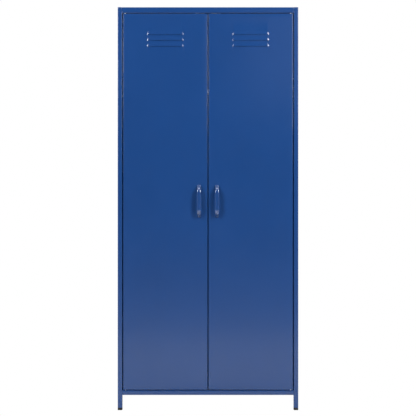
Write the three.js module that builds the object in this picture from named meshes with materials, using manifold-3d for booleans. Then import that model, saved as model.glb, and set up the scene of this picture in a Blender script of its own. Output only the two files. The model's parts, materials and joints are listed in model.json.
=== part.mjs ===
// Two-door sheet-steel locker cabinet: a frame of square tube on four plastic feet, folded panels,
// a hat shelf, a clothes rail, and two louvred doors that swing on pivot pins.
// Millimetres. +X is to the right, the front faces -Y and +Z is up. The origin is on the floor, in
// the middle of the outer box, handles included.

import * as THREE from 'three';
import { ConvexGeometry } from 'three/addons/geometries/ConvexGeometry.js';
import { mergeVertices } from 'three/addons/utils/BufferGeometryUtils.js';
import Module from 'manifold-3d';

const wasm = await Module();
wasm.setup();

// ---------------------------------------------------------------- driving dimensions

// Overall, without the handles.
const WIDTH = 800;
const DEPTH = 500;
const HEIGHT = 1785;

// Frame of welded tube.
const TUBE = 20;
const TUBE_WALL = 1.2;
const TUBE_CORNER = 2;
const TOP_RAIL_HEIGHT = 25;
const LEG_HEIGHT = 67;

// Plastic feet.
const FOOT_HEIGHT = 10;
const FOOT_ROUND = 1;
const SPIGOT_LENGTH = 14;

// Folded panels between the tubes.
const PANEL_SHEET = 0.8;
const PANEL_FLANGE = 12;
const PANEL_RECESS = 1;

// Doors.
const SIDE_GAP = 4;
const CENTRE_GAP = 4;
const TOP_GAP = 3;
const BOTTOM_GAP = 3;
const DOOR_BACK_GAP = 2;
const DOOR_SHEET = 1;
const DOOR_RETURN = 15;
const DOOR_BEND = 1.5;

// Pressed louvres.
const LOUVRE_COUNT = 3;
const LOUVRE_LENGTH = 164;
const LOUVRE_HEIGHT = 14;
const LOUVRE_DEPTH = 2;
const LOUVRE_CURVE = 0.8;
const LOUVRE_LEAN = 6.2;
const LOUVRE_END_SLOPE = 0.33;
const LOUVRE_PITCH = 26;
const LOUVRE_TOP_DROP = 79;
const LOUVRE_SLIT_DROP = 0.6;

// Channel that stiffens each door.
const CHANNEL_WIDTH = 56;
const CHANNEL_DEPTH = 12;
const CHANNEL_LIP = 12;
const CHANNEL_END_GAP = 40;

// Pivot hinges. The pin is set back from the door's face and in from the door's edge.
const PIN_RADIUS = 2;
const PIN_SETBACK = 8;
const PIN_INSET = 9;
const PIN_GRIP = 9;
const WASHER_RADIUS = 3.5;

// Bow handles.
const HANDLE_PROJECTION = 31;
const HANDLE_OFFSET = 40;
const HANDLE_CENTRE_HEIGHT = 925;
const HANDLE_FOOT_REACH = 69;
const HANDLE_GRIP_REACH = 50;
const HANDLE_BEND = 13;
const HANDLE_GRIP_WIDTH = 18.6;
const HANDLE_FOOT_WIDTH = 15;
const HANDLE_THICKNESS = 9;
const HANDLE_TAPER_LENGTH = 26;

// Screws that hold the handles.
const SCREW_SPACING = 128;
const SCREW_RADIUS = 1.6;
const SCREW_HEAD_RADIUS = 4;
const SCREW_HEAD_HEIGHT = 2.4;
const SCREW_BITE = 8;

// Angles that the doors close on, with rubber buffers.
const STOP_SHEET = 1.2;
const STOP_LAP = 10;
const STOP_FOOT = 15;
const STOP_PIN_CLEARANCE = 16;
const BUFFER_RADIUS = 5;
const BUFFER_OFFSET = 150;

// Magnetic catches.
const CATCH_OFFSET = 36;
const CATCH_WIDTH = 44;
const CATCH_DEPTH = 14;
const CATCH_WALL = 2;
const MAGNET_HEIGHT = 6;
const MAGNET_DEPTH = 9;

// Hat shelf and its clips.
const SHELF_DROP = 285;
const SHELF_SHEET = 0.8;
const SHELF_FLANGE = 22;
const SHELF_CLEARANCE = 2;
const CLIP_SHEET = 1.5;
const CLIP_WIDTH = 24;
const CLIP_HEIGHT = 20;
const CLIP_REACH = 14;
const CLIP_SETBACK = 45;

// Clothes rail and its end sockets.
const RAIL_RADIUS = 12.5;
const RAIL_WALL = 1.2;
const RAIL_DROP = 42;
const SOCKET_WALL = 2;
const SOCKET_FLANGE = 3;
const SOCKET_FLANGE_REACH = 8;
const SOCKET_CUP = 14;

// Gap left between pieces that touch, and how far a cutter runs past what it cuts.
const FIT = 0.3;
const OVERRUN = 1;

// Facets.
const ARC_STEPS = 2;
const ROD_SIDES = 20;
const PIPE_SIDES = 32;
const LOUVRE_STEPS = 6;
const HANDLE_SIDES = 16;
const HANDLE_STEPS = 34;

// ---------------------------------------------------------------- places worked out from them

const HALF_WIDTH = WIDTH / 2;
const FRONT_Y = (HANDLE_PROJECTION - DEPTH) / 2;
const REAR_Y = FRONT_Y + DEPTH;
const INNER_X = HALF_WIDTH - TUBE;
const INNER_FRONT_Y = FRONT_Y + TUBE;
const INNER_REAR_Y = REAR_Y - TUBE;
const MIDDLE_Y = (FRONT_Y + REAR_Y) / 2;
const FLOOR_RAIL_TOP = LEG_HEIGHT + TUBE;
const TOP_RAIL_BOTTOM = HEIGHT - TOP_RAIL_HEIGHT;

const DOOR_BOTTOM = FLOOR_RAIL_TOP + BOTTOM_GAP;
const DOOR_TOP = TOP_RAIL_BOTTOM - TOP_GAP;
const DOOR_OUTER_X = INNER_X - SIDE_GAP;
const DOOR_INNER_X = CENTRE_GAP / 2;
const DOOR_CENTRE_X = (DOOR_OUTER_X + DOOR_INNER_X) / 2;
const DOOR_THICKNESS = TUBE - DOOR_BACK_GAP;
const DOOR_BACK_Y = FRONT_Y + DOOR_THICKNESS;

const PIN_X = DOOR_OUTER_X - PIN_INSET;
const PIN_Y = FRONT_Y + PIN_SETBACK;

const PANEL_FACE_X = HALF_WIDTH - PANEL_RECESS;
const PANEL_INSIDE_X = PANEL_FACE_X - PANEL_SHEET;
const SHELF_TOP = HEIGHT - SHELF_DROP;
const SHELF_BOTTOM = SHELF_TOP - SHELF_FLANGE;
const RAIL_HEIGHT = SHELF_BOTTOM - RAIL_DROP;
const STOP_FRONT_Y = INNER_FRONT_Y + FIT;
const STOP_END_X = PIN_X - STOP_PIN_CLEARANCE;

// The two sides of the cabinet, with the sign of X on each.
const SIDES = [['left', -1], ['right', 1]];

// ---------------------------------------------------------------- materials

function finish(color, roughness, metalness) {
  return () => new THREE.MeshStandardMaterial({ color, roughness, metalness });
}

const bluePaint = finish(0x254b87, 0.45, 0.0);
const blackPlastic = finish(0x1c1c1e, 0.55, 0.0);
const whiteNylon = finish(0xd8d8d4, 0.5, 0.0);
const greyPlastic = finish(0xb9bcc0, 0.5, 0.0);
const zincSteel = finish(0xb8bcc2, 0.35, 1.0);
const magnetSteel = finish(0x6b6e73, 0.4, 0.9);
const blackRubber = finish(0x161616, 0.85, 0.0);

// ---------------------------------------------------------------- solids

// A closed geometry as a solid that can be cut and joined.
function solidOf(geometry) {
  const bare = geometry.clone();
  bare.deleteAttribute('normal');
  bare.deleteAttribute('uv');
  const merged = mergeVertices(bare);
  const corners = merged.index.array;
  const faces = [];
  for (let i = 0; i < corners.length; i += 3) {
    const [a, b, c] = [corners[i], corners[i + 1], corners[i + 2]];
    if (a !== b && b !== c && c !== a) {
      faces.push(a, b, c);
    }
  }
  return new wasm.Manifold(new wasm.Mesh({
    numProp: 3,
    vertProperties: new Float32Array(merged.attributes.position.array),
    triVerts: new Uint32Array(faces),
  }));
}

function geometryOf(solid) {
  const mesh = solid.getMesh();
  const geometry = new THREE.BufferGeometry();
  geometry.setAttribute('position', new THREE.BufferAttribute(mesh.vertProperties, 3));
  geometry.setIndex(new THREE.BufferAttribute(mesh.triVerts, 1));
  geometry.computeVertexNormals();
  return geometry;
}

// A box between two corners, given as pairs of limits in any order.
function block(x, y, z) {
  const spans = [x, y, z].map(([a, b]) => [Math.min(a, b), Math.max(a, b)]);
  const sizes = spans.map(([low, high]) => high - low);
  const middles = spans.map(([low, high]) => (low + high) / 2);
  const geometry = new THREE.BoxGeometry(...sizes);
  geometry.translate(...middles);
  return solidOf(geometry);
}

// A round bar between two points.
function rod(radius, start, end, sides = ROD_SIDES) {
  const from = new THREE.Vector3(...start);
  const to = new THREE.Vector3(...end);
  const along = to.clone().sub(from);
  const geometry = new THREE.CylinderGeometry(radius, radius, along.length(), sides);
  const turn = new THREE.Quaternion();
  turn.setFromUnitVectors(new THREE.Vector3(0, 1, 0), along.clone().normalize());
  geometry.applyQuaternion(turn);
  geometry.translate(...from.add(to).multiplyScalar(0.5));
  return solidOf(geometry);
}

// A rectangle with round corners, centred on the origin, drawn into a Shape or a Path.
function roundedRectangle(outline, width, height, radius) {
  const x = width / 2 - radius;
  const y = height / 2 - radius;
  outline.absarc(x, y, radius, 0, Math.PI / 2);
  outline.absarc(-x, y, radius, Math.PI / 2, Math.PI);
  outline.absarc(-x, -y, radius, Math.PI, 1.5 * Math.PI);
  outline.absarc(x, -y, radius, 1.5 * Math.PI, 2 * Math.PI);
  return outline;
}

// The section of a tube, in the plane that it is extruded from.
function tubeSection(width, height) {
  const section = roundedRectangle(new THREE.Shape(), width, height, TUBE_CORNER);
  const bore = roundedRectangle(
    new THREE.Path(), width - 2 * TUBE_WALL, height - 2 * TUBE_WALL, TUBE_CORNER - TUBE_WALL,
  );
  section.holes.push(bore);
  return section;
}

function extruded(section, length) {
  return new THREE.ExtrudeGeometry(section, {
    depth: length, bevelEnabled: false, curveSegments: ARC_STEPS,
  });
}

// A tube along X between two planes, centred on y and z.
function tubeAlongX([x0, x1], y, z, width, height) {
  const geometry = extruded(tubeSection(height, width), x1 - x0);
  geometry.rotateY(Math.PI / 2);
  geometry.translate(x0, y, z);
  return solidOf(geometry);
}

// A tube along Y between two planes, centred on x and z.
function tubeAlongY([y0, y1], x, z, width, height) {
  const geometry = extruded(tubeSection(width, height), y1 - y0);
  geometry.rotateX(-Math.PI / 2);
  geometry.translate(x, y0, z);
  return solidOf(geometry);
}

// A sheet folded into a shallow tray. openAxis and openSign name the side that stays open.
function tray(spans, sheet, openAxis, openSign) {
  const inner = spans.map(([low, high]) => [low + sheet, high - sheet]);
  const openEnd = openSign > 0 ? 1 : 0;
  inner[openAxis][openEnd] = spans[openAxis][openEnd] + openSign * OVERRUN;
  return block(...spans).subtract(block(...inner));
}

// ---------------------------------------------------------------- assembly

const cabinet = new THREE.Group();

function add(name, solid, material) {
  const mesh = new THREE.Mesh(geometryOf(solid), material());
  mesh.name = name;
  cabinet.add(mesh);
}

// ---------------------------------------------------------------- frame

function post(x, y) {
  const shell = roundedRectangle(new THREE.Shape(), TUBE, TUBE, TUBE_CORNER);
  const inside = TUBE - 2 * TUBE_WALL;
  const bore = roundedRectangle(new THREE.Shape(), inside, inside, TUBE_CORNER - TUBE_WALL);
  const bottom = FOOT_HEIGHT + FIT;
  const outer = extruded(shell, HEIGHT - bottom);
  outer.translate(x, y, bottom);
  const hollow = extruded(bore, HEIGHT - TUBE_WALL - bottom + OVERRUN);
  hollow.translate(x, y, bottom - OVERRUN);
  return solidOf(outer).subtract(solidOf(hollow));
}

function foot(x, y) {
  const outline = roundedRectangle(
    new THREE.Shape(), TUBE - 2 * FOOT_ROUND, TUBE - 2 * FOOT_ROUND, TUBE_CORNER / 2,
  );
  const cap = new THREE.ExtrudeGeometry(outline, {
    depth: FOOT_HEIGHT,
    bevelEnabled: true,
    bevelThickness: FOOT_ROUND,
    bevelSize: FOOT_ROUND,
    bevelSegments: 3,
    curveSegments: ARC_STEPS,
  });
  cap.translate(x, y, FOOT_ROUND);
  const trim = block(
    [x - TUBE, x + TUBE], [y - TUBE, y + TUBE], [-OVERRUN, FOOT_HEIGHT],
  );
  const half = TUBE / 2 - TUBE_WALL - FIT;
  const spigot = block(
    [x - half, x + half], [y - half, y + half], [FOOT_HEIGHT - OVERRUN, FOOT_HEIGHT + SPIGOT_LENGTH],
  );
  return solidOf(cap).intersect(trim).add(spigot);
}

// The holes that the hinge pins pass through, in a rail or in a door, from one height to another.
function cutPinHoles(solid, sides, from, to) {
  let cut = solid;
  for (const side of sides) {
    const hole = rod(PIN_RADIUS + FIT, [side * PIN_X, PIN_Y, from], [side * PIN_X, PIN_Y, to]);
    cut = cut.subtract(hole);
  }
  return cut;
}

function addFrame() {
  const across = [-INNER_X + FIT, INNER_X - FIT];
  const along = [INNER_FRONT_Y + FIT, INNER_REAR_Y - FIT];
  const topZ = HEIGHT - TOP_RAIL_HEIGHT / 2;
  const bottomZ = LEG_HEIGHT + TUBE / 2;
  const frontY = FRONT_Y + TUBE / 2;
  const rearY = REAR_Y - TUBE / 2;
  const postX = HALF_WIDTH - TUBE / 2;

  for (const [name, side] of SIDES) {
    add(`post_front_${name}`, post(side * postX, frontY), bluePaint);
    add(`post_rear_${name}`, post(side * postX, rearY), bluePaint);
    add(`foot_front_${name}`, foot(side * postX, frontY), blackPlastic);
    add(`foot_rear_${name}`, foot(side * postX, rearY), blackPlastic);
    const topRail = tubeAlongY(along, side * postX, topZ, TUBE, TOP_RAIL_HEIGHT);
    add(`top_rail_${name}`, topRail, bluePaint);
    const bottomRail = tubeAlongY(along, side * postX, bottomZ, TUBE, TUBE);
    add(`bottom_rail_${name}`, bottomRail, bluePaint);
  }

  const topFront = tubeAlongX(across, frontY, topZ, TUBE, TOP_RAIL_HEIGHT);
  add('top_rail_front', cutPinHoles(topFront, [-1, 1], DOOR_TOP, topZ), bluePaint);
  const bottomFront = tubeAlongX(across, frontY, bottomZ, TUBE, TUBE);
  add('bottom_rail_front', cutPinHoles(bottomFront, [-1, 1], bottomZ, DOOR_BOTTOM), bluePaint);
  add('top_rail_rear', tubeAlongX(across, rearY, topZ, TUBE, TOP_RAIL_HEIGHT), bluePaint);
  add('bottom_rail_rear', tubeAlongX(across, rearY, bottomZ, TUBE, TUBE), bluePaint);
}

// ---------------------------------------------------------------- panels

function addPanels() {
  const across = [-INNER_X + FIT, INNER_X - FIT];
  const along = [INNER_FRONT_Y + FIT, INNER_REAR_Y - FIT];
  const upright = [FLOOR_RAIL_TOP + FIT, TOP_RAIL_BOTTOM - FIT];

  const leftSpans = [[-PANEL_FACE_X, -PANEL_FACE_X + PANEL_FLANGE], along, upright];
  add('side_panel_left', tray(leftSpans, PANEL_SHEET, 0, 1), bluePaint);
  const rightSpans = [[PANEL_FACE_X - PANEL_FLANGE, PANEL_FACE_X], along, upright];
  add('side_panel_right', tray(rightSpans, PANEL_SHEET, 0, -1), bluePaint);

  const backFace = REAR_Y - PANEL_RECESS;
  const backSpans = [across, [backFace - PANEL_FLANGE, backFace], upright];
  add('back_panel', tray(backSpans, PANEL_SHEET, 1, -1), bluePaint);

  const roof = HEIGHT - PANEL_RECESS;
  const roofSpans = [across, along, [roof - PANEL_FLANGE, roof]];
  add('top_panel', tray(roofSpans, PANEL_SHEET, 2, -1), bluePaint);

  const floor = FLOOR_RAIL_TOP - PANEL_RECESS;
  const floorSpans = [across, along, [floor - PANEL_FLANGE, floor]];
  add('bottom_panel', tray(floorSpans, PANEL_SHEET, 2, -1), bluePaint);
}

// ---------------------------------------------------------------- doors

// A louvre's hood, or the space under it. It grows from nothing at its top edge to its full depth at
// its lip, between ends that slope back to the door. faceY is the face that it rises from.
function louvreHood(centreX, lipZ, faceY, backY, lowZ) {
  const corners = [];
  const addSection = (up, z) => {
    const foot = LOUVRE_LENGTH / 2 - LOUVRE_LEAN * up;
    const depth = LOUVRE_DEPTH * (1 - up) ** LOUVRE_CURVE;
    const crest = foot - depth / LOUVRE_END_SLOPE;
    for (const end of [-1, 1]) {
      corners.push(new THREE.Vector3(centreX + end * foot, backY, z));
      corners.push(new THREE.Vector3(centreX + end * foot, faceY, z));
      corners.push(new THREE.Vector3(centreX + end * crest, faceY - depth, z));
    }
  };
  addSection(0, lowZ);
  for (let i = 0; i <= LOUVRE_STEPS; i += 1) {
    addSection(i / LOUVRE_STEPS, lipZ + LOUVRE_HEIGHT * i / LOUVRE_STEPS);
  }
  return solidOf(new ConvexGeometry(corners));
}

function cutLouvres(skin, centreX) {
  const insideY = FRONT_Y + DOOR_SHEET;
  let cut = skin;
  for (let i = 0; i < LOUVRE_COUNT; i += 1) {
    const lipZ = DOOR_TOP - LOUVRE_TOP_DROP - LOUVRE_HEIGHT - i * LOUVRE_PITCH;
    const hood = louvreHood(centreX, lipZ, FRONT_Y, insideY - DOOR_SHEET / 2, lipZ);
    const throat = louvreHood(
      centreX, lipZ, insideY, insideY + OVERRUN, lipZ - LOUVRE_SLIT_DROP,
    );
    cut = cut.add(hood).subtract(throat);
  }
  return cut;
}

function doorSkin(side) {
  const width = DOOR_OUTER_X - DOOR_INNER_X;
  const height = DOOR_TOP - DOOR_BOTTOM;
  const centreX = side * DOOR_CENTRE_X;
  const outline = new THREE.Shape();
  const halfWidth = width / 2 - DOOR_BEND;
  const halfHeight = height / 2 - DOOR_BEND;
  outline.moveTo(-halfWidth, -halfHeight);
  outline.lineTo(halfWidth, -halfHeight);
  outline.lineTo(halfWidth, halfHeight);
  outline.lineTo(-halfWidth, halfHeight);
  outline.closePath();
  const slab = new THREE.ExtrudeGeometry(outline, {
    depth: DOOR_THICKNESS,
    bevelEnabled: true,
    bevelThickness: DOOR_BEND,
    bevelSize: DOOR_BEND,
    bevelSegments: 3,
  });
  slab.rotateX(Math.PI / 2);
  slab.translate(centreX, FRONT_Y + DOOR_BEND + DOOR_THICKNESS, (DOOR_TOP + DOOR_BOTTOM) / 2);

  const x = [side * DOOR_INNER_X, side * DOOR_OUTER_X];
  const whole = block(x, [FRONT_Y - OVERRUN, DOOR_BACK_Y], [DOOR_BOTTOM, DOOR_TOP]);
  const hollow = block(
    [side * (DOOR_INNER_X + DOOR_SHEET), side * (DOOR_OUTER_X - DOOR_SHEET)],
    [FRONT_Y + DOOR_SHEET, DOOR_BACK_Y - DOOR_SHEET],
    [DOOR_BOTTOM + DOOR_SHEET, DOOR_TOP - DOOR_SHEET],
  );
  const window = block(
    [side * (DOOR_INNER_X + DOOR_RETURN), side * (DOOR_OUTER_X - DOOR_RETURN)],
    [FRONT_Y + DOOR_THICKNESS / 2, DOOR_BACK_Y + OVERRUN],
    [DOOR_BOTTOM + DOOR_RETURN, DOOR_TOP - DOOR_RETURN],
  );
  let skin = solidOf(slab).intersect(whole).subtract(hollow).subtract(window);
  skin = cutLouvres(skin, centreX);
  skin = cutPinHoles(skin, [side], DOOR_BOTTOM - OVERRUN, DOOR_BOTTOM + DOOR_SHEET + OVERRUN);
  skin = cutPinHoles(skin, [side], DOOR_TOP - DOOR_SHEET - OVERRUN, DOOR_TOP + OVERRUN);
  for (const z of screwHeights()) {
    const start = [side * HANDLE_OFFSET, FRONT_Y - OVERRUN, z];
    const end = [side * HANDLE_OFFSET, FRONT_Y + DOOR_SHEET + OVERRUN, z];
    skin = skin.subtract(rod(SCREW_RADIUS + FIT, start, end));
  }
  return skin;
}

// A hat-shaped channel behind the door's face, from the bottom edge to just under the louvres.
function doorChannel(side) {
  const front = FRONT_Y + DOOR_SHEET + FIT;
  const back = front + CHANNEL_DEPTH;
  const half = CHANNEL_WIDTH / 2;
  const outline = new THREE.Shape();
  outline.moveTo(-half - CHANNEL_LIP, front);
  outline.lineTo(-half + DOOR_SHEET, front);
  outline.lineTo(-half + DOOR_SHEET, back - DOOR_SHEET);
  outline.lineTo(half - DOOR_SHEET, back - DOOR_SHEET);
  outline.lineTo(half - DOOR_SHEET, front);
  outline.lineTo(half + CHANNEL_LIP, front);
  outline.lineTo(half + CHANNEL_LIP, front + DOOR_SHEET);
  outline.lineTo(half, front + DOOR_SHEET);
  outline.lineTo(half, back);
  outline.lineTo(-half, back);
  outline.lineTo(-half, front + DOOR_SHEET);
  outline.lineTo(-half - CHANNEL_LIP, front + DOOR_SHEET);
  outline.closePath();
  const bottom = DOOR_BOTTOM + CHANNEL_END_GAP;
  const lowestLip = DOOR_TOP - LOUVRE_TOP_DROP - LOUVRE_HEIGHT - (LOUVRE_COUNT - 1) * LOUVRE_PITCH;
  const geometry = extruded(outline, lowestLip - CHANNEL_END_GAP - bottom);
  geometry.translate(side * DOOR_CENTRE_X, 0, bottom);
  return solidOf(geometry);
}

// ---------------------------------------------------------------- handles

function screwHeights() {
  const half = SCREW_SPACING / 2;
  return [HANDLE_CENTRE_HEIGHT - half, HANDLE_CENTRE_HEIGHT + half];
}

// The middle line of a bow handle: x is the height from its centre, y is the distance from the door.
function handleLine() {
  const grip = HANDLE_PROJECTION - HANDLE_THICKNESS / 2;
  const slope = new THREE.Vector2(HANDLE_FOOT_REACH - HANDLE_GRIP_REACH, -grip).normalize();
  const footX = HANDLE_FOOT_REACH + slope.x * HANDLE_THICKNESS;
  const footY = slope.y * HANDLE_THICKNESS;
  const bendX = HANDLE_GRIP_REACH + slope.x * HANDLE_BEND;
  const bendY = grip + slope.y * HANDLE_BEND;
  const at = (x, y) => new THREE.Vector3(x, y, 0);
  const line = new THREE.CurvePath();
  const gripEnd = HANDLE_GRIP_REACH - HANDLE_BEND;
  line.add(new THREE.LineCurve3(at(-footX, footY), at(-bendX, bendY)));
  line.add(new THREE.QuadraticBezierCurve3(
    at(-bendX, bendY), at(-HANDLE_GRIP_REACH, grip), at(-gripEnd, grip),
  ));
  line.add(new THREE.LineCurve3(at(-gripEnd, grip), at(gripEnd, grip)));
  line.add(new THREE.QuadraticBezierCurve3(
    at(gripEnd, grip), at(HANDLE_GRIP_REACH, grip), at(bendX, bendY),
  ));
  line.add(new THREE.LineCurve3(at(bendX, bendY), at(footX, footY)));
  return line;
}

// A closed cylinder bent along the middle line, oval in section and narrower towards its feet.
function handle(side) {
  const line = handleLine();
  const geometry = new THREE.CylinderGeometry(1, 1, 1, HANDLE_SIDES, HANDLE_STEPS);
  const position = geometry.attributes.position;
  for (let i = 0; i < position.count; i += 1) {
    const t = THREE.MathUtils.clamp(position.getY(i) + 0.5, 0, 1);
    const point = line.getPointAt(t);
    const tangent = line.getTangentAt(t);
    const fromBend = Math.abs(point.x) - (HANDLE_GRIP_REACH - HANDLE_BEND);
    const taper = THREE.MathUtils.smoothstep(fromBend, 0, HANDLE_TAPER_LENGTH);
    const width = THREE.MathUtils.lerp(HANDLE_GRIP_WIDTH, HANDLE_FOOT_WIDTH, taper);
    const across = position.getX(i) * width / 2;
    const outward = position.getZ(i) * HANDLE_THICKNESS / 2;
    const out = point.y + outward * tangent.x;
    const up = point.x - outward * tangent.y;
    position.setXYZ(i, side * HANDLE_OFFSET + across, FRONT_Y - out, HANDLE_CENTRE_HEIGHT + up);
  }
  const reach = 2 * HANDLE_FOOT_REACH;
  const inFront = block(
    [side * HANDLE_OFFSET - HANDLE_GRIP_WIDTH, side * HANDLE_OFFSET + HANDLE_GRIP_WIDTH],
    [FRONT_Y - 2 * HANDLE_PROJECTION, FRONT_Y - FIT],
    [HANDLE_CENTRE_HEIGHT - reach, HANDLE_CENTRE_HEIGHT + reach],
  );
  let bar = solidOf(geometry).intersect(inFront);
  for (const z of screwHeights()) {
    const mouth = [side * HANDLE_OFFSET, FRONT_Y + OVERRUN, z];
    const end = [side * HANDLE_OFFSET, FRONT_Y - SCREW_BITE - FIT, z];
    bar = bar.subtract(rod(SCREW_RADIUS + FIT, mouth, end));
  }
  return bar;
}

function handleScrew(side, z) {
  const x = side * HANDLE_OFFSET;
  const seat = FRONT_Y + DOOR_SHEET + FIT;
  const shank = rod(SCREW_RADIUS, [x, FRONT_Y - SCREW_BITE, z], [x, seat + OVERRUN, z]);
  const head = rod(SCREW_HEAD_RADIUS, [x, seat, z], [x, seat + SCREW_HEAD_HEIGHT, z]);
  return shank.add(head);
}

// ---------------------------------------------------------------- hinges

// A loose washer in the gap between a rail and a door.
function hingeWasher(x, low, high) {
  const ring = rod(WASHER_RADIUS, [x, PIN_Y, low + FIT], [x, PIN_Y, high - FIT]);
  const bore = rod(PIN_RADIUS + FIT, [x, PIN_Y, low - OVERRUN], [x, PIN_Y, high + OVERRUN]);
  return ring.subtract(bore);
}

function addDoors() {
  for (const [name, side] of SIDES) {
    const x = side * PIN_X;
    add(`door_${name}`, doorSkin(side), bluePaint);
    add(`door_channel_${name}`, doorChannel(side), bluePaint);
    add(`handle_${name}`, handle(side), bluePaint);
    const [lowScrew, highScrew] = screwHeights();
    add(`handle_screw_${name}_lower`, handleScrew(side, lowScrew), zincSteel);
    add(`handle_screw_${name}_upper`, handleScrew(side, highScrew), zincSteel);

    const upperPin = rod(
      PIN_RADIUS, [x, PIN_Y, DOOR_TOP - PIN_GRIP], [x, PIN_Y, TOP_RAIL_BOTTOM + PIN_GRIP],
    );
    add(`hinge_pin_${name}_upper`, upperPin, zincSteel);
    const lowerPin = rod(
      PIN_RADIUS, [x, PIN_Y, FLOOR_RAIL_TOP - PIN_GRIP], [x, PIN_Y, DOOR_BOTTOM + PIN_GRIP],
    );
    add(`hinge_pin_${name}_lower`, lowerPin, zincSteel);
    add(`hinge_washer_${name}_upper`, hingeWasher(x, DOOR_TOP, TOP_RAIL_BOTTOM), whiteNylon);
    add(`hinge_washer_${name}_lower`, hingeWasher(x, FLOOR_RAIL_TOP, DOOR_BOTTOM), whiteNylon);
  }
}

// ---------------------------------------------------------------- door stops and catches

// An angle that laps behind the doors. It stands on the floor panel, or hangs from the top rail.
function doorStop(tipZ, heelZ) {
  const x = [-STOP_END_X, STOP_END_X];
  const inward = Math.sign(tipZ - heelZ);
  const wall = block(x, [STOP_FRONT_Y, STOP_FRONT_Y + STOP_SHEET], [tipZ, heelZ]);
  const leg = block(
    x, [STOP_FRONT_Y, STOP_FRONT_Y + STOP_FOOT], [heelZ, heelZ + inward * STOP_SHEET],
  );
  return wall.add(leg);
}

const UPPER_STOP_TIP = DOOR_TOP - STOP_LAP;
const UPPER_STOP_HEEL = HEIGHT - PANEL_RECESS - PANEL_FLANGE - FIT;
const LOWER_STOP_TIP = DOOR_BOTTOM + STOP_LAP;
const LOWER_STOP_HEEL = FLOOR_RAIL_TOP - PANEL_RECESS + FIT;

const MAGNET_Z = [DOOR_TOP - STOP_LAP + CATCH_WALL, DOOR_TOP - STOP_LAP + CATCH_WALL + MAGNET_HEIGHT];

// The catch's outer box, from below the magnet up to the leg of the upper stop.
function catchSpans(side, gap) {
  const half = CATCH_WIDTH / 2 + gap;
  const centre = side * CATCH_OFFSET;
  return [
    [centre - half, centre + half],
    [STOP_FRONT_Y - gap, STOP_FRONT_Y + CATCH_DEPTH + gap],
    [UPPER_STOP_TIP - gap, UPPER_STOP_HEEL - STOP_SHEET - FIT + gap],
  ];
}

function magnetSpans(side, gap) {
  const half = CATCH_WIDTH / 2 - CATCH_WALL + gap;
  const centre = side * CATCH_OFFSET;
  const front = DOOR_BACK_Y + FIT;
  return [
    [centre - half, centre + half],
    [front - gap, front + MAGNET_DEPTH + gap],
    [MAGNET_Z[0] - gap, MAGNET_Z[1] + gap],
  ];
}

function addStops() {
  let upper = doorStop(UPPER_STOP_TIP, UPPER_STOP_HEEL);
  for (const [name, side] of SIDES) {
    const notch = catchSpans(side, FIT);
    notch[2] = [UPPER_STOP_TIP - OVERRUN, UPPER_STOP_HEEL - STOP_SHEET];
    upper = upper.subtract(block(...notch));
    const housing = block(...catchSpans(side, 0)).subtract(block(...magnetSpans(side, FIT)));
    add(`catch_housing_${name}`, housing, greyPlastic);
    add(`catch_magnet_${name}`, block(...magnetSpans(side, 0)), magnetSteel);

    const x = side * BUFFER_OFFSET;
    const span = [DOOR_BACK_Y + FIT, STOP_FRONT_Y - FIT];
    const upperZ = DOOR_TOP - STOP_LAP / 2;
    const lowerZ = DOOR_BOTTOM + STOP_LAP / 2;
    const upperBuffer = rod(BUFFER_RADIUS, [x, span[0], upperZ], [x, span[1], upperZ]);
    add(`door_buffer_${name}_upper`, upperBuffer, blackRubber);
    const lowerBuffer = rod(BUFFER_RADIUS, [x, span[0], lowerZ], [x, span[1], lowerZ]);
    add(`door_buffer_${name}_lower`, lowerBuffer, blackRubber);
  }
  add('door_stop_upper', upper, bluePaint);
  add('door_stop_lower', doorStop(LOWER_STOP_TIP, LOWER_STOP_HEEL), bluePaint);
}

// ---------------------------------------------------------------- shelf

const SHELF_HALF_WIDTH = PANEL_INSIDE_X - SHELF_CLEARANCE;
const SHELF_FRONT_Y = INNER_FRONT_Y + FIT + PANEL_SHEET + SHELF_CLEARANCE;
const SHELF_REAR_Y = INNER_REAR_Y - FIT - PANEL_SHEET - SHELF_CLEARANCE;

function shelfClip(side, centreY) {
  const wallX = PANEL_INSIDE_X - FIT;
  const seatTop = SHELF_BOTTOM - FIT;
  const y = [centreY - CLIP_WIDTH / 2, centreY + CLIP_WIDTH / 2];
  const wall = block(
    [side * (wallX - CLIP_SHEET), side * wallX], y, [seatTop - CLIP_HEIGHT, seatTop],
  );
  const seat = block(
    [side * (wallX - CLIP_REACH), side * wallX], y, [seatTop - CLIP_SHEET, seatTop],
  );
  return wall.add(seat);
}

function addShelf() {
  const spans = [
    [-SHELF_HALF_WIDTH, SHELF_HALF_WIDTH],
    [SHELF_FRONT_Y, SHELF_REAR_Y],
    [SHELF_BOTTOM, SHELF_TOP],
  ];
  add('hat_shelf', tray(spans, SHELF_SHEET, 2, -1), bluePaint);
  for (const [name, side] of SIDES) {
    const front = shelfClip(side, SHELF_FRONT_Y + CLIP_SETBACK);
    add(`shelf_clip_${name}_front`, front, zincSteel);
    const rear = shelfClip(side, SHELF_REAR_Y - CLIP_SETBACK);
    add(`shelf_clip_${name}_rear`, rear, zincSteel);
  }
}

// ---------------------------------------------------------------- clothes rail

function railSocket(side) {
  const bore = RAIL_RADIUS + FIT;
  const cup = bore + SOCKET_WALL;
  const profile = [
    [0, 0],
    [cup + SOCKET_FLANGE_REACH, 0],
    [cup + SOCKET_FLANGE_REACH, SOCKET_FLANGE],
    [cup, SOCKET_FLANGE],
    [cup, SOCKET_CUP],
    [bore, SOCKET_CUP],
    [bore, SOCKET_FLANGE],
    [0, SOCKET_FLANGE],
  ].map(([radius, height]) => new THREE.Vector2(radius, height));
  const geometry = new THREE.LatheGeometry(profile, PIPE_SIDES);
  geometry.rotateZ(side * Math.PI / 2);
  geometry.translate(side * (PANEL_INSIDE_X - FIT), MIDDLE_Y, RAIL_HEIGHT);
  return solidOf(geometry);
}

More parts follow.
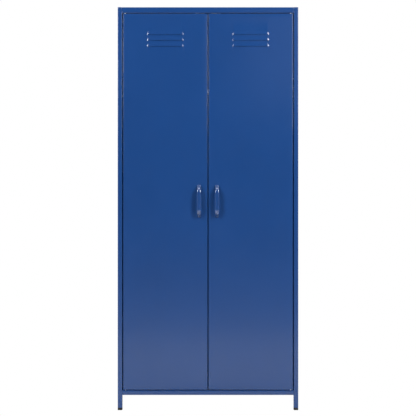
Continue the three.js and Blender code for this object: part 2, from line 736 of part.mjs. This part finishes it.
function clothesRail() {
  const end = PANEL_INSIDE_X - FIT - SOCKET_FLANGE - FIT;
  const outer = rod(
    RAIL_RADIUS, [-end, MIDDLE_Y, RAIL_HEIGHT], [end, MIDDLE_Y, RAIL_HEIGHT], PIPE_SIDES,
  );
  const bore = rod(
    RAIL_RADIUS - RAIL_WALL,
    [-end - OVERRUN, MIDDLE_Y, RAIL_HEIGHT],
    [end + OVERRUN, MIDDLE_Y, RAIL_HEIGHT],
    PIPE_SIDES,
  );
  return outer.subtract(bore);
}

function addClothesRail() {
  add('clothes_rail', clothesRail(), zincSteel);
  for (const [name, side] of SIDES) {
    add(`rail_socket_${name}`, railSocket(side), greyPlastic);
  }
}

addFrame();
addPanels();
addDoors();
addStops();
addShelf();
addClothesRail();

export default cabinet;
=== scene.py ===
"""Looks of the two-door locker cabinet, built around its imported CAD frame. Metres throughout."""

import json
import math

import bmesh
import bpy
from mathutils import Matrix, Vector


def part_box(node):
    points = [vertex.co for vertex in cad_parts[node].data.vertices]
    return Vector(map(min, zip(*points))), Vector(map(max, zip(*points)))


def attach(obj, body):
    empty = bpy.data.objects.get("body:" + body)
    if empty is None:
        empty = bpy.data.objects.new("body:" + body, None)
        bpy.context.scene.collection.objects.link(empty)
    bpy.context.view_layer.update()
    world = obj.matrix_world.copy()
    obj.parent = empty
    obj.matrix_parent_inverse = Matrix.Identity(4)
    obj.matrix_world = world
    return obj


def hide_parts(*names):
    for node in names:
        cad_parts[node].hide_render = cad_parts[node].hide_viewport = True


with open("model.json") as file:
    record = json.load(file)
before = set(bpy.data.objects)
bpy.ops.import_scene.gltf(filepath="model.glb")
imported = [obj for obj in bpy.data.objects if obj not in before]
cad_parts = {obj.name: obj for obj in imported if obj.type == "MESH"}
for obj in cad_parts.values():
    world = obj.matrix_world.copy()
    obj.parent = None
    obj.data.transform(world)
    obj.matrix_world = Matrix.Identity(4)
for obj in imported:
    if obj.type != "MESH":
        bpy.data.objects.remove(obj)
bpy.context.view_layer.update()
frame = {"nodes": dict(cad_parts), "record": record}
NODES = frame["nodes"]
SIDES = ("left", "right")
MM = 0.001


# The plane of the cabinet's front, which the frame and the closed doors share.
FRONT_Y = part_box("post_front_left")[0].y

# ---------------------------------------------------------------- camera

VIEW_HEIGHT = 0.8955
VIEW_DISTANCE = 4.5
# How wide a stretch of the front's plane the picture takes in.
VIEW_WIDTH = 1.8426
SENSOR = 36.0
FAR_END = 100


def make_camera():
    """A level camera, square to the cabinet's front."""
    data = bpy.data.cameras.new("camera")
    data.sensor_width = SENSOR
    data.lens = SENSOR * VIEW_DISTANCE / VIEW_WIDTH
    data.clip_end = FAR_END
    camera = bpy.data.objects.new("camera", data)
    camera.location = (0, FRONT_Y - VIEW_DISTANCE, VIEW_HEIGHT)
    camera.rotation_euler = (math.radians(90), 0, 0)
    bpy.context.scene.collection.objects.link(camera)
    bpy.context.scene.camera = camera


make_camera()

# ---------------------------------------------------------------- studio

FLOOR_RADIUS = 3.0
FLOOR_SIDES = 96
# Azimuth and elevation in degrees, distance and (width, height) in metres, and power in watts.
SOFTBOXES = {
    "softbox_left": (-38, 27, 6.0, (1.15, 4.2), 390),
    "softbox_right": (38, 27, 5.0, (0.96, 3.5), 350),
    "softbox_top": (0, 80, 3.4, (2.4, 2.0), 48),
    "softbox_rear_left": (-135, 36, 5.0, (2.0, 2.0), 110),
    "softbox_rear_right": (135, 36, 5.0, (2.0, 2.0), 110),
    "softbox_front": (11, 15, 6.0, (1.5, 1.2), 2.2),
}
# The world's light: heights are the vertical share of a direction, wings its share to either side.
GROUND_EDGE = (-0.16, -0.025)
GROUND_LEVEL = 0.84
SKY_EDGE = (0.35, 1.0)
SKY_LEVEL = 0.25
ROOM_LEVEL = 0.03
WING_EDGE = (0.72, 0.95)
WING_LEVEL = 0.28
AIM_HEIGHT = 0.95


def softbox(name, azimuth, elevation, distance, size, power):
    """A rectangular light that faces the cabinet. Azimuth 0 is in front, positive is to the right."""
    data = bpy.data.lights.new(name, "AREA")
    data.shape = "RECTANGLE"
    data.size, data.size_y = size
    data.energy = power
    light = bpy.data.objects.new(name, data)
    turn, lift = math.radians(azimuth), math.radians(elevation)
    away = Vector((math.sin(turn) * math.cos(lift), -math.cos(turn) * math.cos(lift), math.sin(lift)))
    light.location = Vector((0, 0, AIM_HEIGHT)) + away * distance
    light.rotation_mode = "QUATERNION"
    light.rotation_quaternion = away.to_track_quat("Z", "Y")
    light.visible_camera = False
    bpy.context.scene.collection.objects.link(light)


def ramp(tree, value, start, end, low, high):
    """A smooth step of a value between two levels."""
    node = tree.nodes.new("ShaderNodeMapRange")
    node.interpolation_type = "SMOOTHSTEP"
    node.inputs["From Min"].default_value = start
    node.inputs["From Max"].default_value = end
    node.inputs["To Min"].default_value = low
    node.inputs["To Max"].default_value = high
    tree.links.new(value, node.inputs["Value"])
    return node.outputs["Result"]


def arithmetic(tree, operation, first, second):
    """A sum, product or the like of two values."""
    node = tree.nodes.new("ShaderNodeMath")
    node.operation = operation
    tree.links.new(first, node.inputs[0])
    tree.links.new(second, node.inputs[1])
    return node.outputs[0]


def make_world():
    """White to the camera. As a light: pale ground, faint sky, a dark room and dim walls aside."""
    world = bpy.data.worlds.new("studio")
    bpy.context.scene.world = world
    world.use_nodes = True
    tree = world.node_tree
    tree.nodes.clear()
    new, link = tree.nodes.new, tree.links.new
    output = new("ShaderNodeOutputWorld")
    mix = new("ShaderNodeMixShader")
    path = new("ShaderNodeLightPath")
    seen, lit = new("ShaderNodeBackground"), new("ShaderNodeBackground")
    for shader in (seen, lit):
        shader.inputs["Color"].default_value = (1, 1, 1, 1)
    split = new("ShaderNodeSeparateXYZ")
    link(new("ShaderNodeTexCoord").outputs["Generated"], split.inputs[0])
    up = split.outputs["Z"]
    aside = arithmetic(tree, "MULTIPLY", split.outputs["X"], split.outputs["X"])
    ground = ramp(tree, up, GROUND_EDGE[0], GROUND_EDGE[1], GROUND_LEVEL, 0.0)
    sky = ramp(tree, up, SKY_EDGE[0], SKY_EDGE[1], ROOM_LEVEL, SKY_LEVEL)
    wings = ramp(tree, aside, WING_EDGE[0] ** 2, WING_EDGE[1] ** 2, 0.0, WING_LEVEL)
    total = arithmetic(tree, "ADD", arithmetic(tree, "ADD", ground, sky), wings)
    link(total, lit.inputs["Strength"])
    link(path.outputs["Is Camera Ray"], mix.inputs["Fac"])
    link(lit.outputs[0], mix.inputs[1])
    link(seen.outputs[0], mix.inputs[2])
    link(mix.outputs[0], output.inputs["Surface"])


def make_studio():
    """The world, the floor and the lights around the cabinet."""
    bpy.context.scene.view_settings.view_transform = "Standard"
    make_world()
    mesh = bpy.data.meshes.new("floor")
    shape = bmesh.new()
    bmesh.ops.create_circle(shape, cap_ends=True, segments=FLOOR_SIDES, radius=FLOOR_RADIUS)
    shape.to_mesh(mesh)
    shape.free()
    floor = bpy.data.objects.new("floor", mesh)
    bpy.context.scene.collection.objects.link(floor)
    floor.data.materials.append(floor_finish())
    for name, (azimuth, elevation, distance, size, power) in SOFTBOXES.items():
        softbox(name, azimuth, elevation, distance, size, power)


# ---------------------------------------------------------------- materials


BEVEL_SAMPLES = 4
# How far a rounded normal turns, as a cosine, from where an edge counts in full to where it ends.
EDGE_TURN = (0.72, 0.98)


class Finish:
    """A node material with a Principled shader and short calls for the nodes that feed it."""

    def __init__(self, name):
        self.material = bpy.data.materials.new(name)
        self.material.use_nodes = True
        self.tree = self.material.node_tree
        self.tree.nodes.clear()
        self.shader = self.node("ShaderNodeBsdfPrincipled")
        self.output = self.node("ShaderNodeOutputMaterial")
        self.link(self.shader.outputs[0], self.output.inputs["Surface"])
        self.place = self.node("ShaderNodeTexCoord").outputs["Object"]

    def node(self, kind):
        return self.tree.nodes.new(kind)

    def link(self, source, target):
        self.tree.links.new(source, target)

    def set(self, **sockets):
        """Constant values on the shader, by socket name with _ for each space."""
        for name, value in sockets.items():
            self.shader.inputs[name.replace("_", " ")].default_value = value

    def stretched(self, scale):
        """Object coordinates scaled by a different factor along each axis."""
        mapping = self.node("ShaderNodeMapping")
        mapping.inputs["Scale"].default_value = scale
        self.link(self.place, mapping.inputs["Vector"])
        return mapping.outputs[0]

    def noise(self, scale, detail=2.0, roughness=0.5, vector=None):
        """A noise pattern. scale is the number of its features in a metre."""
        node = self.node("ShaderNodeTexNoise")
        node.inputs["Scale"].default_value = scale
        node.inputs["Detail"].default_value = detail
        node.inputs["Roughness"].default_value = roughness
        self.link(vector or self.place, node.inputs["Vector"])
        return node.outputs["Fac"]

    def cells(self, scale):
        """A random value for each cell of a crystal pattern."""
        node = self.node("ShaderNodeTexVoronoi")
        node.inputs["Scale"].default_value = scale
        self.link(self.place, node.inputs["Vector"])
        return node.outputs["Color"]

    def spread(self, value, low, high, start=0.3, end=0.7):
        """Stretches the middle of a pattern over a range."""
        node = self.node("ShaderNodeMapRange")
        node.inputs["From Min"].default_value = start
        node.inputs["From Max"].default_value = end
        node.inputs["To Min"].default_value = low
        node.inputs["To Max"].default_value = high
        self.link(value, node.inputs["Value"])
        return node.outputs["Result"]

    def between(self, factor, first, second):
        """A mix of two colours, each a colour or a socket."""
        node = self.node("ShaderNodeMix")
        node.data_type = "RGBA"
        self.link(factor, node.inputs["Factor"])
        for socket, value in ((node.inputs[6], first), (node.inputs[7], second)):
            if isinstance(value, bpy.types.NodeSocket):
                self.link(value, socket)
            else:
                socket.default_value = (*value, 1)
        return node.outputs[2]

    def product(self, first, second):
        return arithmetic(self.tree, "MULTIPLY", first, second)

    def facing_up(self, start, end):
        """1 where the surface lies level, falling to 0 as it leans."""
        split = self.node("ShaderNodeSeparateXYZ")
        self.link(self.node("ShaderNodeNewGeometry").outputs["Normal"], split.inputs[0])
        return self.spread(split.outputs["Z"], 0.0, 1.0, start, end)

    def edges(self, radius):
        """1 along sharp edges and 0 on flat ground, from how far a rounded normal turns."""
        bevel = self.node("ShaderNodeBevel")
        bevel.samples = BEVEL_SAMPLES
        bevel.inputs["Radius"].default_value = radius
        ground = self.node("ShaderNodeNewGeometry").outputs["Normal"]
        turn = self.node("ShaderNodeVectorMath")
        turn.operation = "DOT_PRODUCT"
        self.link(bevel.outputs[0], turn.inputs[0])
        self.link(ground, turn.inputs[1])
        return self.spread(turn.outputs["Value"], 1.0, 0.0, *EDGE_TURN)

    def bumps(self, *layers, soften=None):
        """Relief from (pattern, height in metres) pairs, over edges rounded by soften metres."""
        normal = None
        if soften:
            bevel = self.node("ShaderNodeBevel")
            bevel.samples = BEVEL_SAMPLES
            bevel.inputs["Radius"].default_value = soften
            normal = bevel.outputs[0]
        for pattern, height in layers:
            bump = self.node("ShaderNodeBump")
            bump.inputs["Distance"].default_value = height
            self.link(pattern, bump.inputs["Height"])
            if normal:
                self.link(normal, bump.inputs["Normal"])
            normal = bump.outputs[0]
        self.link(normal, self.shader.inputs["Normal"])

    def colour(self, socket):
        self.link(socket, self.shader.inputs["Base Color"])

    def rough(self, socket):
        self.link(socket, self.shader.inputs["Roughness"])


PAINT_BLUE = (0.0053, 0.0288, 0.108)
PAINT_BLUE_DEEP = (0.0047, 0.0262, 0.099)
# The paler colour along edges is partly thin, worn powder coat and partly a painted highlight standing
# in for light on the bends.
PAINT_BLUE_THIN_AND_HIGHLIT = (0.026, 0.070, 0.190)
PAINT_SOFTENING = 0.6 * MM
WORN_AND_HIGHLIT_WIDTH = 0.9 * MM
LACQUER_ROUGHNESS = 0.14
DUST = (0.34, 0.33, 0.31)
# The vertical share of a normal from which dust settles, and where it lies in full.
DUST_LEVEL = (0.93, 0.995)


def powder_coat(name, lacquer=0.0):
    """Satin blue powder coat: orange peel, slow drifts of shade, paler edges (thin paint, plus a
    painted highlight along the edges), dust on level faces.
    """
    finish = Finish(name)
    finish.set(Coat_Weight=lacquer, Coat_Roughness=LACQUER_ROUGHNESS)
    drift = finish.spread(finish.noise(3.1, 3.0), 0.0, 1.0)
    ground = finish.between(drift, PAINT_BLUE, PAINT_BLUE_DEEP)
    patches = finish.spread(finish.noise(46.0, 4.0, 0.6), 0.05, 0.85)
    # Painted highlight: the pale patchy band along edges is partly wear and partly a painted edge
    # highlight.
    wear_and_highlight = finish.product(finish.edges(WORN_AND_HIGHLIT_WIDTH), patches)
    paint = finish.between(wear_and_highlight, ground, PAINT_BLUE_THIN_AND_HIGHLIT)
    level = finish.facing_up(*DUST_LEVEL)
    film = finish.product(level, finish.spread(finish.noise(7.0, 6.0, 0.65), 0.0, 0.02))
    finish.colour(finish.between(film, paint, DUST))
    satin = finish.spread(finish.noise(17.0, 5.0, 0.6), 0.15, 0.20)
    dull = finish.product(level, finish.spread(finish.noise(11.0, 6.0, 0.6), 0.42, 0.48))
    finish.rough(arithmetic(finish.tree, "MAXIMUM", satin, dull))
    peel = finish.noise(430.0, 2.0, 0.55)
    waves = finish.noise(95.0, 1.0, 0.4)
    finish.bumps((waves, 0.018 * MM), (peel, 0.012 * MM), soften=PAINT_SOFTENING)
    return finish.material


def moulded_plastic(name, pale, dark, roughness, grain, shine=0.5):
    """Injection-moulded plastic with a spark-eroded grain."""
    finish = Finish(name)
    finish.colour(finish.between(finish.noise(60.0, 3.0), pale, dark))
    finish.set(Specular_IOR_Level=shine)
    low, high = roughness
    finish.rough(finish.spread(finish.noise(240.0, 3.0), low, high))
    finish.bumps((finish.noise(grain, 3.0, 0.65), 0.03 * MM), soften=0.4 * MM)
    return finish.material


def zinc_plate(name):
    """Bright zinc plate with a faint spangle and a dull haze."""
    finish = Finish(name)
    finish.set(Metallic=1.0)
    spangle = finish.between(finish.cells(330.0), (0.56, 0.58, 0.61), (0.72, 0.74, 0.76))
    haze = finish.spread(finish.noise(70.0, 4.0), 0.0, 0.5)
    finish.colour(finish.between(haze, spangle, (0.50, 0.52, 0.56)))
    finish.rough(finish.spread(finish.noise(150.0, 4.0), 0.28, 0.44))
    finish.bumps((finish.noise(900.0, 2.0), 0.01 * MM), soften=0.3 * MM)
    return finish.material


def polished_tube(name):
    """Chromed tube with hairline scuffs round it from coat hangers."""
    finish = Finish(name)
    finish.set(Metallic=1.0)
    tint = finish.noise(22.0, 2.0)
    finish.colour(finish.between(tint, (0.78, 0.79, 0.81), (0.70, 0.715, 0.74)))
    scuffs = finish.noise(40.0, 6.0, 0.7, finish.stretched((60.0, 1.0, 1.0)))
    finish.rough(finish.spread(scuffs, 0.09, 0.24))
    finish.bumps((scuffs, 0.004 * MM), soften=0.3 * MM)
    return finish.material


def floor_finish():
    """A pale matt studio floor, burnt out to plain white where the camera sees it."""
    finish = Finish("floor_paper")
    finish.colour(finish.between(finish.noise(0.8, 3.0), (0.66, 0.66, 0.66), (0.62, 0.62, 0.63)))
    finish.set(Roughness=0.9)
    finish.bumps((finish.noise(220.0, 3.0), 0.05 * MM))
    white = finish.node("ShaderNodeEmission")
    white.inputs["Strength"].default_value = 1.0
    mix = finish.node("ShaderNodeMixShader")
    finish.link(finish.node("ShaderNodeLightPath").outputs["Is Camera Ray"], mix.inputs["Fac"])
    finish.link(finish.shader.outputs[0], mix.inputs[1])
    finish.link(white.outputs[0], mix.inputs[2])
    finish.link(mix.outputs[0], finish.output.inputs["Surface"])
    return finish.material


BLACK = ((0.013, 0.013, 0.0135), (0.008, 0.008, 0.0085))
NYLON = ((0.74, 0.74, 0.71), (0.64, 0.64, 0.61))
GREY = ((0.48, 0.50, 0.52), (0.40, 0.42, 0.44))
MAGNET = ((0.20, 0.205, 0.215), (0.13, 0.134, 0.14))

MATERIALS = {
    "blue_paint": powder_coat("blue_powder_coat"),
    "foot_plastic": moulded_plastic("black_foot_plastic", *BLACK, (0.42, 0.56), 1500.0, 0.15),
    "zinc_steel": zinc_plate("zinc_plate"),
    "rail_steel": polished_tube("chromed_tube"),
    "washer_nylon": moulded_plastic("white_nylon", *NYLON, (0.40, 0.52), 900.0),
    "catch_plastic": moulded_plastic("grey_catch_plastic", *GREY, (0.42, 0.55), 1300.0),
    "magnet_steel": moulded_plastic("magnet_ferrite", *MAGNET, (0.40, 0.60), 2200.0),
    "buffer_rubber": moulded_plastic("black_rubber", *BLACK, (0.68, 0.82), 1900.0),
}
HANDLE_FINISH = powder_coat("blue_handle_lacquer", lacquer=1.0)

# ---------------------------------------------------------------- carried-over CAD nodes

WELD_DISTANCE = 0.002 * MM
SMOOTH_ANGLE = math.radians(32)


def smooth_by_angle():
    """A modifier that joins split corners and shades shallow angles as round."""
    tree = bpy.data.node_groups.new("smooth_shallow_angles", "GeometryNodeTree")
    tree.interface.new_socket("Geometry", in_out="INPUT", socket_type="NodeSocketGeometry")
    tree.interface.new_socket("Geometry", in_out="OUTPUT", socket_type="NodeSocketGeometry")
    new, link = tree.nodes.new, tree.links.new
    source = new("NodeGroupInput")
    weld = new("GeometryNodeMergeByDistance")
    weld.inputs["Distance"].default_value = WELD_DISTANCE
    forget = new("GeometryNodeRemoveAttribute")
    forget.inputs["Name"].default_value = "custom_normal"
    faces = new("GeometryNodeSetShadeSmooth")
    faces.domain = "FACE"
    edges = new("GeometryNodeSetShadeSmooth")
    edges.domain = "EDGE"
    edges.inputs["Shade Smooth"].default_value = False
    angle = new("GeometryNodeInputMeshEdgeAngle")
    steep = new("FunctionNodeCompare")
    steep.operation = "GREATER_THAN"
    steep.inputs[1].default_value = SMOOTH_ANGLE
    result = new("NodeGroupOutput")
    link(source.outputs[0], weld.inputs["Geometry"])
    link(weld.outputs[0], forget.inputs["Geometry"])
    link(forget.outputs[0], faces.inputs["Geometry"])
    link(faces.outputs[0], edges.inputs["Geometry"])
    link(angle.outputs["Unsigned Angle"], steep.inputs[0])
    link(steep.outputs[0], edges.inputs["Selection"])
    link(edges.outputs[0], result.inputs[0])
    return tree


SMOOTHER = smooth_by_angle()


def smooth(piece):
    modifier = piece.modifiers.new("smooth", "NODES")
    modifier.node_group = SMOOTHER


def dress_cad_nodes():
    """Gives each CAD node the material of its slot and smooth shading."""
    slots = {row["node"]: row["material_slot"] for row in frame["record"]["subparts"]}
    for name, node in NODES.items():
        node.data.materials.clear()
        node.data.materials.append(MATERIALS[slots[name]])
        smooth(node)


# ---------------------------------------------------------------- new pieces


SAME_POINT = 0.005 * MM


def new_piece(name, points, faces, slot, body, stands_for):
    """A mesh piece from points and faces, painted, riding on a body in place of a CAD node."""
    mesh = bpy.data.meshes.new(name)
    mesh.from_pydata([tuple(p) for p in points], [], [tuple(f) for f in faces])
    mesh.validate()
    shape = bmesh.new()
    shape.from_mesh(mesh)
    bmesh.ops.remove_doubles(shape, verts=shape.verts, dist=SAME_POINT)
    bmesh.ops.dissolve_degenerate(shape, edges=shape.edges, dist=WELD_DISTANCE)
    shape.to_mesh(mesh)
    shape.free()
    piece = bpy.data.objects.new(name, mesh)
    bpy.context.scene.collection.objects.link(piece)
    mesh.materials.append(MATERIALS[slot])
    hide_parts(stands_for)
    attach(piece, body)
    return piece


# ---------------------------------------------------------------- doors

DOOR_SHEET = 1.0 * MM
DOOR_BEND = 2.0 * MM
DOOR_RETURN = 15 * MM
BEND_STEPS = 5
LOUVRE_COUNT = 3
LOUVRE_LENGTH = 164 * MM
LOUVRE_HEIGHT = 14 * MM
LOUVRE_PITCH = 26 * MM
LOUVRE_TOP_DROP = 79 * MM
LOUVRE_SLIT = 0.75 * MM
LOUVRE_STEPS = 12
LOUVRE_END_STEPS = 26
LOUVRE_LEAN = 6.2 * MM
LOUVRE_DEPTH = 2 * MM
LOUVRE_CURVE = 0.8
LOUVRE_END_SLOPE = 0.33
LOUVRE_ROUNDING = 0.5 * MM
SLIT_LEAST_DEPTH = 0.6 * MM
# Where the grid of the face has lines apart from those that shape the louvres.
GRID_MIDDLE_STEPS = 6
GRID_PAST_LOUVRE = 3 * MM
GRID_FROM_SIDES = (60 * MM, 20 * MM, 0)
GRID_FROM_TOP = 20 * MM
GRID_SHARES_BELOW = (0.03, 0.2, 0.4, 0.6, 0.8, 0.97)
ROUND_OFF = 1e-6
PIN_CLEARANCE = 0.3 * MM
PIN_HOLE_SIDES = 32


def louvre_lips(top):
    """The heights of the louvres' lower edges."""
    first = top - LOUVRE_TOP_DROP - LOUVRE_HEIGHT
    return [first - i * LOUVRE_PITCH for i in range(LOUVRE_COUNT)]


def rounded_least(first, second, rounding):
    """The lesser of two heights, with the corner between them rounded off."""
    near = max(rounding - abs(first - second), 0) / rounding
    return min(first, second) - near * near * rounding / 4


def louvre_depth(x, z, lips):
    """How far the door's face stands out at a point, measured from the door's middle line."""
    for lip in lips:
        up = (z - lip) / LOUVRE_HEIGHT
        if -ROUND_OFF <= up < 1:
            crest = LOUVRE_DEPTH * (1 - max(up, 0)) ** LOUVRE_CURVE
            inside = LOUVRE_LENGTH / 2 - LOUVRE_LEAN * up - abs(x)
            wall = -rounded_least(-inside * LOUVRE_END_SLOPE, 0, LOUVRE_ROUNDING)
            return max(rounded_least(wall, crest, LOUVRE_ROUNDING), 0)
    return 0.0


def door_rings(thickness):
    """(outward shift, depth behind the face, inward reach) of each ring of the folded edge."""
    rings = []
    for i in range(1, BEND_STEPS + 1):
        angle = math.pi / 2 * i / BEND_STEPS
        rings.append((DOOR_BEND * math.sin(angle), DOOR_BEND * (1 - math.cos(angle)), 0))
    back = thickness - DOOR_BEND
    for i in range(BEND_STEPS + 1):
        angle = math.pi / 2 * i / BEND_STEPS
        shift = DOOR_BEND * math.cos(angle)
        rings.append((shift, back + DOOR_BEND * math.sin(angle), 0))
    rings.append((0, thickness, DOOR_RETURN - DOOR_BEND))
    return rings


def door_grid(low, high, lips):
    """The lines of the face's grid, closer together where the louvres are pressed."""
    half = (high.x - low.x) / 2 - DOOR_BEND
    wall = LOUVRE_DEPTH / LOUVRE_END_SLOPE + LOUVRE_LEAN + 2 * LOUVRE_ROUNDING
    straight = LOUVRE_LENGTH / 2 - wall
    end = [straight + wall * i / LOUVRE_END_STEPS for i in range(LOUVRE_END_STEPS + 1)]
    outer = [LOUVRE_LENGTH / 2 + GRID_PAST_LOUVRE] + [half - inset for inset in GRID_FROM_SIDES]
    inner = [straight * i / GRID_MIDDLE_STEPS for i in range(GRID_MIDDLE_STEPS)]
    right = inner + end + outer
    xs = sorted({round(v, 7) for v in right} | {round(-v, 7) for v in right})
    zs = [low.z + DOOR_BEND, high.z - DOOR_BEND]
    zs += [low.z + (lips[-1] - low.z) * share for share in GRID_SHARES_BELOW]
    for lip in lips:
        zs += [lip - LOUVRE_SLIT, lip]
        zs += [lip + LOUVRE_HEIGHT * i / LOUVRE_STEPS for i in range(1, LOUVRE_STEPS + 1)]
    zs.append(high.z - GRID_FROM_TOP)
    return xs, sorted(zs)


def drill_pin_holes(piece, name):
    """Cuts the hinge pins' clearance holes through the door's folded top and bottom edges."""
    shape = bmesh.new()
    for end in ("upper", "lower"):
        low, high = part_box(f"hinge_pin_{name}_{end}")
        radius = (high.x - low.x) / 2 + PIN_CLEARANCE
        bmesh.ops.create_cone(
            shape, cap_ends=True, segments=PIN_HOLE_SIDES, radius1=radius, radius2=radius,
            depth=high.z - low.z, matrix=Matrix.Translation((low + high) / 2),
        )
    mesh = bpy.data.meshes.new("pin_drill")
    shape.to_mesh(mesh)
    shape.free()
    drill = bpy.data.objects.new("pin_drill", mesh)
    bpy.context.scene.collection.objects.link(drill)
    cut = piece.modifiers.new("pin_holes", "BOOLEAN")
    cut.operation = "DIFFERENCE"
    cut.solver = "EXACT"
    cut.object = drill
    drilled = piece.evaluated_get(bpy.context.evaluated_depsgraph_get())
    piece.data = bpy.data.meshes.new_from_object(drilled)
    piece.modifiers.clear()
    bpy.data.objects.remove(drill)
    bpy.data.meshes.remove(mesh)


def door_face(xs, zs, centre, lips):
    """Points and faces of the pressed front, open below each louvre's lip."""
    points = [(centre + x, FRONT_Y - louvre_depth(x, z, lips), z) for z in zs for x in xs]
    columns = len(xs)
    faces = []
    for j in range(len(zs) - 1):
        under_lip = any(abs(zs[j + 1] - lip) < ROUND_OFF * LOUVRE_HEIGHT for lip in lips)
        for i in range(columns - 1):
            outwards = min(louvre_depth(x, zs[j + 1], lips) for x in (xs[i], xs[i + 1]))
            if under_lip and outwards > SLIT_LEAST_DEPTH:
                continue
            a = j * columns + i
            faces.append((a, a + 1, a + columns + 1, a + columns))
    return points, faces


def fold_edge(points, faces, xs, zs, centre, thickness):
    """Adds the folded edge ring by ring, starting from the face's border, anticlockwise."""
    right, top = len(xs) - 1, len(zs) - 1
    border = [(i, 0) for i in range(right)]
    border += [(right, j) for j in range(top)]
    border += [(i, top) for i in range(right, 0, -1)]
    border += [(0, j) for j in range(top, 0, -1)]
    previous = [j * len(xs) + i for i, j in border]
    for shift, behind, inward in door_rings(thickness):
        ring = []
        for i, j in border:
            x = xs[i] + shift * ((i == right) - (i == 0))
            z = zs[j] + shift * ((j == top) - (j == 0))
            x = min(max(x, xs[0] - shift + inward), xs[-1] + shift - inward)
            z = min(max(z, zs[0] - shift + inward), zs[-1] + shift - inward)
            ring.append(len(points))
            points.append((centre + x, FRONT_Y + behind, z))
        for k in range(len(border)):
            after = (k + 1) % len(border)
            faces.append((previous[after], previous[k], ring[k], ring[after]))
        previous = ring


def make_door(name):
    """A folded sheet door with pressed louvres and holes for its hinge pins."""
    low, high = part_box(f"door_{name}")
    centre = (low.x + high.x) / 2
    lips = louvre_lips(high.z)
    xs, zs = door_grid(low, high, lips)
    points, faces = door_face(xs, zs, centre, lips)
    fold_edge(points, faces, xs, zs, centre, high.y - FRONT_Y)
    piece = new_piece(
        f"door_skin_{name}", points, faces, "blue_paint", f"door_{name}", f"door_{name}",
    )
    sheet = piece.modifiers.new("sheet", "SOLIDIFY")
    sheet.thickness = DOOR_SHEET
    sheet.offset = -1
    sheet.use_even_offset = True
    drill_pin_holes(piece, name)
    smooth(piece)


# ---------------------------------------------------------------- handles

HANDLE_SIDES = 40
HANDLE_SLOPE_STEPS = 14
HANDLE_BEND_STEPS = 30
HANDLE_GRIP_SHARES = (0.2, 0.4, 0.6, 0.8)
HANDLE_THICKNESS = 9 * MM
HANDLE_FOOT_REACH = 69 * MM
HANDLE_GRIP_REACH = 50 * MM
HANDLE_BEND = 13 * MM
HANDLE_FOOT_WIDTH = 15 * MM
HANDLE_TAPER = 26 * MM
# The power of the cross-section's curve: 2 is an ellipse, and higher is squarer.
HANDLE_SQUARENESS = 3.0
# The least outward share of the line's direction at which the handle runs into the door.
FOOT_STEEPNESS = 0.1


def handle_line(grip):
    """Points along the middle of a bow handle, as (distance from the door, height), closely spaced."""
    slope = Vector((-grip, HANDLE_FOOT_REACH - HANDLE_GRIP_REACH)).normalized()
    foot = Vector((0, HANDLE_FOOT_REACH))
    corner = Vector((grip, HANDLE_GRIP_REACH))
    start, end = corner + slope * HANDLE_BEND, corner - Vector((0, HANDLE_BEND))
    half = []
    for i in range(HANDLE_SLOPE_STEPS):
        half.append(foot.lerp(start, i / HANDLE_SLOPE_STEPS))
    for i in range(HANDLE_BEND_STEPS + 1):
        t = i / HANDLE_BEND_STEPS
        half.append(start.lerp(corner, t).lerp(corner.lerp(end, t), t))
    middle = [end * (1 - t) + Vector((grip, -end.y)) * t for t in HANDLE_GRIP_SHARES]
    return half + middle + [Vector((p.x, -p.y)) for p in reversed(half)]


def handle_width(height, grip_width):
    """The handle's width at a height from its middle, narrowing smoothly past the bend."""
    past_bend = abs(height) - (HANDLE_GRIP_REACH - HANDLE_BEND)
    taper = min(max(past_bend / HANDLE_TAPER, 0), 1)
    taper = taper * taper * (3 - 2 * taper)
    return grip_width + (HANDLE_FOOT_WIDTH - grip_width) * taper


def handle_ring(point, along, width):
    """A rounded cross-section around a point, as (across, out, up), cut off flat at the door."""
    outward = Vector((-along.y, along.x))
    power = 2 / HANDLE_SQUARENESS
    ring = []
    for i in range(HANDLE_SIDES):
        angle = 2 * math.pi * i / HANDLE_SIDES
        c, s = math.cos(angle), math.sin(angle)
        across = math.copysign(abs(c) ** power, c) * width / 2
        lift = math.copysign(abs(s) ** power, s) * HANDLE_THICKNESS / 2
        out = point.x + outward.x * lift
        up = point.y + outward.y * lift
        if out < 0:
            if abs(along.x) > FOOT_STEEPNESS:
                up += math.copysign(out * abs(along.y / along.x), -point.y)
            out = 0
        ring.append((across, out, up))
    return ring


def face_outwards(piece):
    shape = bmesh.new()
    shape.from_mesh(piece.data)
    bmesh.ops.recalc_face_normals(shape, faces=shape.faces)
    shape.to_mesh(piece.data)
    shape.free()


def make_handle(name):
    """A bow handle, swept along its line with closed ends."""
    low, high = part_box(f"handle_{name}")
    centre_x, centre_z = (low.x + high.x) / 2, (low.z + high.z) / 2
    line = handle_line(FRONT_Y - low.y - HANDLE_THICKNESS / 2)
    points, faces = [], []
    for k, point in enumerate(line):
        before, after = line[max(k - 1, 0)], line[min(k + 1, len(line) - 1)]
        width = handle_width(point.y, high.x - low.x)
        for across, out, up in handle_ring(point, (after - before).normalized(), width):
            points.append((centre_x + across, FRONT_Y - out, centre_z + up))
    last = (len(line) - 1) * HANDLE_SIDES
    for start in range(0, last, HANDLE_SIDES):
        for i in range(HANDLE_SIDES):
            a, b = start + i, start + (i + 1) % HANDLE_SIDES
            faces.append((a, b, b + HANDLE_SIDES, a + HANDLE_SIDES))
    faces.append(tuple(range(HANDLE_SIDES)))
    faces.append(tuple(range(last, last + HANDLE_SIDES)))
    piece = new_piece(
        f"bow_handle_{name}", points, faces, "blue_paint", f"door_{name}", f"handle_{name}",
    )
    piece.data.materials[0] = HANDLE_FINISH
    face_outwards(piece)
    smooth(piece)


# ---------------------------------------------------------------- scene

dress_cad_nodes()
for side in SIDES:
    make_door(side)
    make_handle(side)
make_studio()
